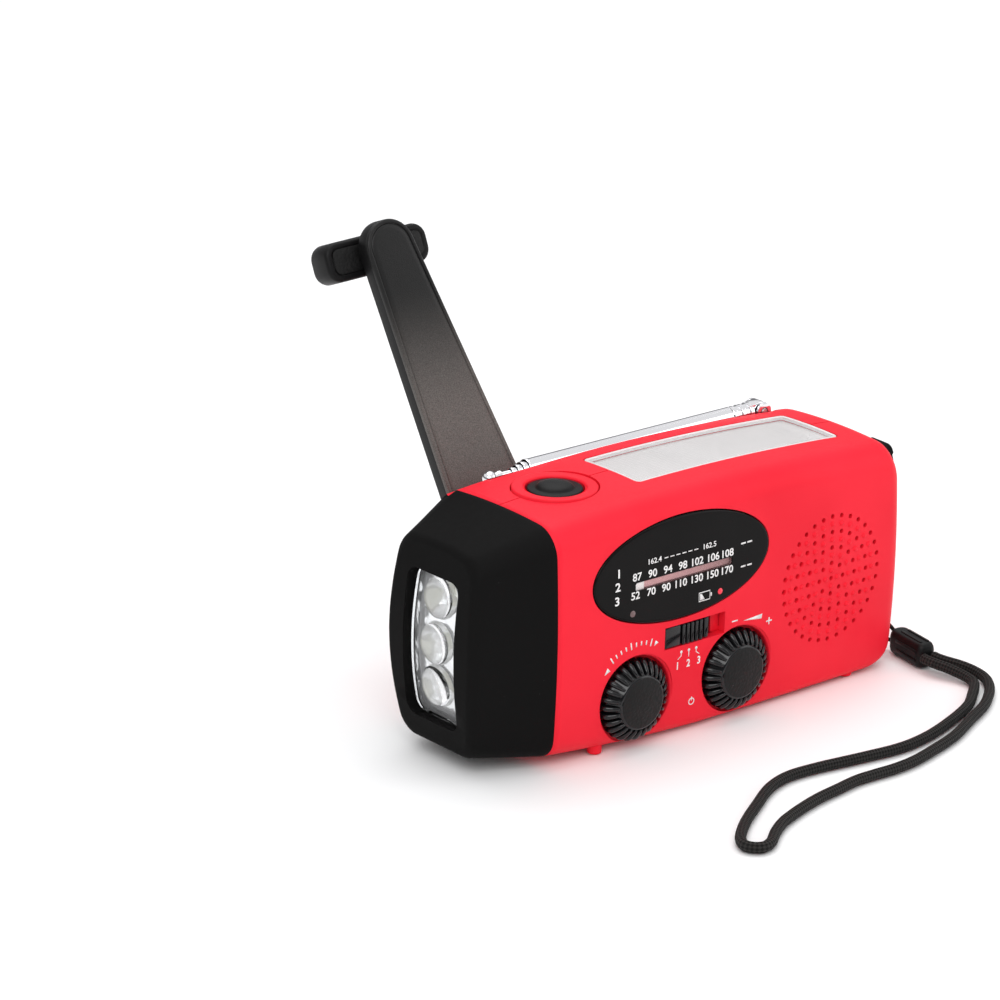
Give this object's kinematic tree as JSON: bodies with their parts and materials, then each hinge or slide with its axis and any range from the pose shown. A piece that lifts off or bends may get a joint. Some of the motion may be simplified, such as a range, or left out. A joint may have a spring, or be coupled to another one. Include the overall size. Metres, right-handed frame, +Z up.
{
  "type": "hand crank weather radio",
  "caption": "Table radio with a folding hand crank on its back, a torch in one end, tuning and volume knobs, a telescopic antenna, a solar window and a wrist strap.",
  "frame": {"origin": "on the table under the middle of the box that holds the radio with its crank, without the strap", "axes": "+X along the case towards the strap end, +Y towards the crank side, +Z up"},
  "size_m": [0.1401, 0.1489, 0.1142],
  "materials": {
    "red_plastic": "fine matte, coral red",
    "black_rubber": "matte",
    "black_gloss": "polished",
    "black_satin": "satin, fine grain",
    "clear_plastic": "clear, polished",
    "chrome": "polished plating",
    "steel": "plain",
    "copper": "enamelled wire",
    "solar_cell": "smooth",
    "circuit_board": "solder mask",
    "cream_plastic": "moulded",
    "ferrite": "sintered",
    "battery_sleeve": "shrink sleeve",
    "paper_cone": "paper",
    "black_braid": "braided cord"
  },
  "bodies": {
    "radio": {"front_shell": "red_plastic", "rear_shell": "red_plastic", "case_screw_1": "steel", "case_screw_2": "steel", "case_screw_3": "steel", "case_screw_4": "steel", "torch_bezel": "black_rubber", "torch_lens": "clear_plastic", "torch_reflector": "chrome", "torch_led_1": "clear_plastic", "torch_led_2": "clear_plastic", "torch_led_3": "clear_plastic", "led_board": "circuit_board", "dial_window": "black_gloss", "slot_window": "clear_plastic", "pointer_rail": "cream_plastic", "band_switch_body": "steel", "main_board": "circuit_board", "tuning_capacitor": "cream_plastic", "volume_control": "steel", "speaker_frame": "steel", "speaker_cone": "paper_cone", "speaker_magnet": "ferrite", "ferrite_rod": "ferrite", "ferrite_coil": "copper", "battery_pack": "battery_sleeve", "usb_socket": "steel", "charge_jack": "black_satin", "solar_window": "clear_plastic", "solar_cell": "solar_cell", "button_ring": "red_plastic", "button_switch": "black_satin", "antenna_bracket": "chrome", "antenna_pin": "steel", "generator_stator": "steel", "gear_plate": "cream_plastic", "strap_lock": "black_satin", "strap_cord": "black_braid", "strap_tether": "black_braid"},
    "crank": {"crank_hub": "black_satin", "crank_gear": "cream_plastic", "fold_pin": "steel"},
    "arm": {"crank_arm": "black_satin", "arm_cover": "black_satin", "grip_pin": "steel"},
    "grip": {"crank_grip": "black_satin"},
    "idler": {"idler_gear": "cream_plastic"},
    "rotor": {"generator_rotor": "steel"},
    "antenna_base": {"antenna_knuckle": "chrome", "antenna_section_1": "chrome"},
    "antenna_2": {"antenna_section_2": "chrome"},
    "antenna_3": {"antenna_section_3": "chrome"},
    "antenna_4": {"antenna_section_4": "chrome"},
    "antenna_5": {"antenna_section_5": "chrome"},
    "tuning": {"tuning_knob": "black_gloss"},
    "pointer": {"dial_pointer": "cream_plastic"},
    "volume": {"volume_knob": "black_gloss"},
    "band_switch": {"band_switch_slider": "black_satin"},
    "button": {"torch_button": "black_satin"},
    "cover": {"port_cover": "black_rubber"}
  },
  "joints": [
    {"name": "crank_spin", "type": "hinge", "parent": "radio", "child": "crank", "pos_m": [-0.02441, -0.00558, 0.031], "axis": [0, 1, 0], "continuous": true},
    {"name": "arm_fold", "type": "hinge", "parent": "crank", "child": "arm", "pos_m": [-0.02637, 0.00243, 0.04111], "axis": [-0.9816, 0, -0.1908], "range_deg": [0, 130]},
    {"name": "grip_spin", "type": "hinge", "parent": "arm", "child": "grip", "pos_m": [-0.03888, 0.03501, 0.10547], "axis": [0.0715, 0.9272, -0.3677], "continuous": true},
    {"name": "idler_spin", "type": "hinge", "parent": "radio", "child": "idler", "pos_m": [-0.00691, -0.01317, 0.031], "axis": [0, 1, 0], "continuous": true},
    {"name": "rotor_spin", "type": "hinge", "parent": "radio", "child": "rotor", "pos_m": [0.00689, -0.01628, 0.031], "axis": [0, 1, 0], "continuous": true},
    {"name": "antenna_tilt", "type": "hinge", "parent": "radio", "child": "antenna_base", "pos_m": [0.04949, -0.00248, 0.0587], "axis": [0, 1, 0], "range_deg": [0, 90]},
    {"name": "antenna_slide_2", "type": "slide", "parent": "antenna_base", "child": "antenna_2", "axis": [-1, 0, 0], "range_m": [0, 0.056]},
    {"name": "antenna_slide_3", "type": "slide", "parent": "antenna_2", "child": "antenna_3", "axis": [-1, 0, 0], "range_m": [0, 0.056]},
    {"name": "antenna_slide_4", "type": "slide", "parent": "antenna_3", "child": "antenna_4", "axis": [-1, 0, 0], "range_m": [0, 0.056]},
    {"name": "antenna_slide_5", "type": "slide", "parent": "antenna_4", "child": "antenna_5", "axis": [-1, 0, 0], "range_m": [0, 0.056]},
    {"name": "tuning_spin", "type": "hinge", "parent": "radio", "child": "tuning", "pos_m": [-0.02311, -0.03918, 0.01245], "axis": [0, 1, 0], "range_deg": [0, 180]},
    {"name": "pointer_slide", "type": "slide", "parent": "radio", "child": "pointer", "axis": [1, 0, 0], "range_m": [0, 0.025]},
    {"name": "volume_spin", "type": "hinge", "parent": "radio", "child": "volume", "pos_m": [0.00854, -0.03918, 0.01245], "axis": [0, 1, 0], "range_deg": [0, 300]},
    {"name": "band_slide", "type": "slide", "parent": "radio", "child": "band_switch", "axis": [1, 0, 0], "range_m": [0, 0.0044]},
    {"name": "button_press", "type": "slide", "parent": "radio", "child": "button", "axis": [0, 0, -1], "range_m": [0, 0.0015], "stiffness_N_per_m": 600},
    {"name": "cover_hinge", "type": "hinge", "parent": "radio", "child": "cover", "pos_m": [0.06399, -0.03072, 0.0248], "axis": [0, 1, 0], "range_deg": [0, 110]}
  ],
  "couplings": [
    {"joint": "idler_spin", "follows": "crank_spin", "ratio": -4},
    {"joint": "rotor_spin", "follows": "crank_spin", "ratio": 14.4},
    {"joint": "pointer_slide", "follows": "tuning_spin", "m_per_rad": 0.0079577}
  ]
}
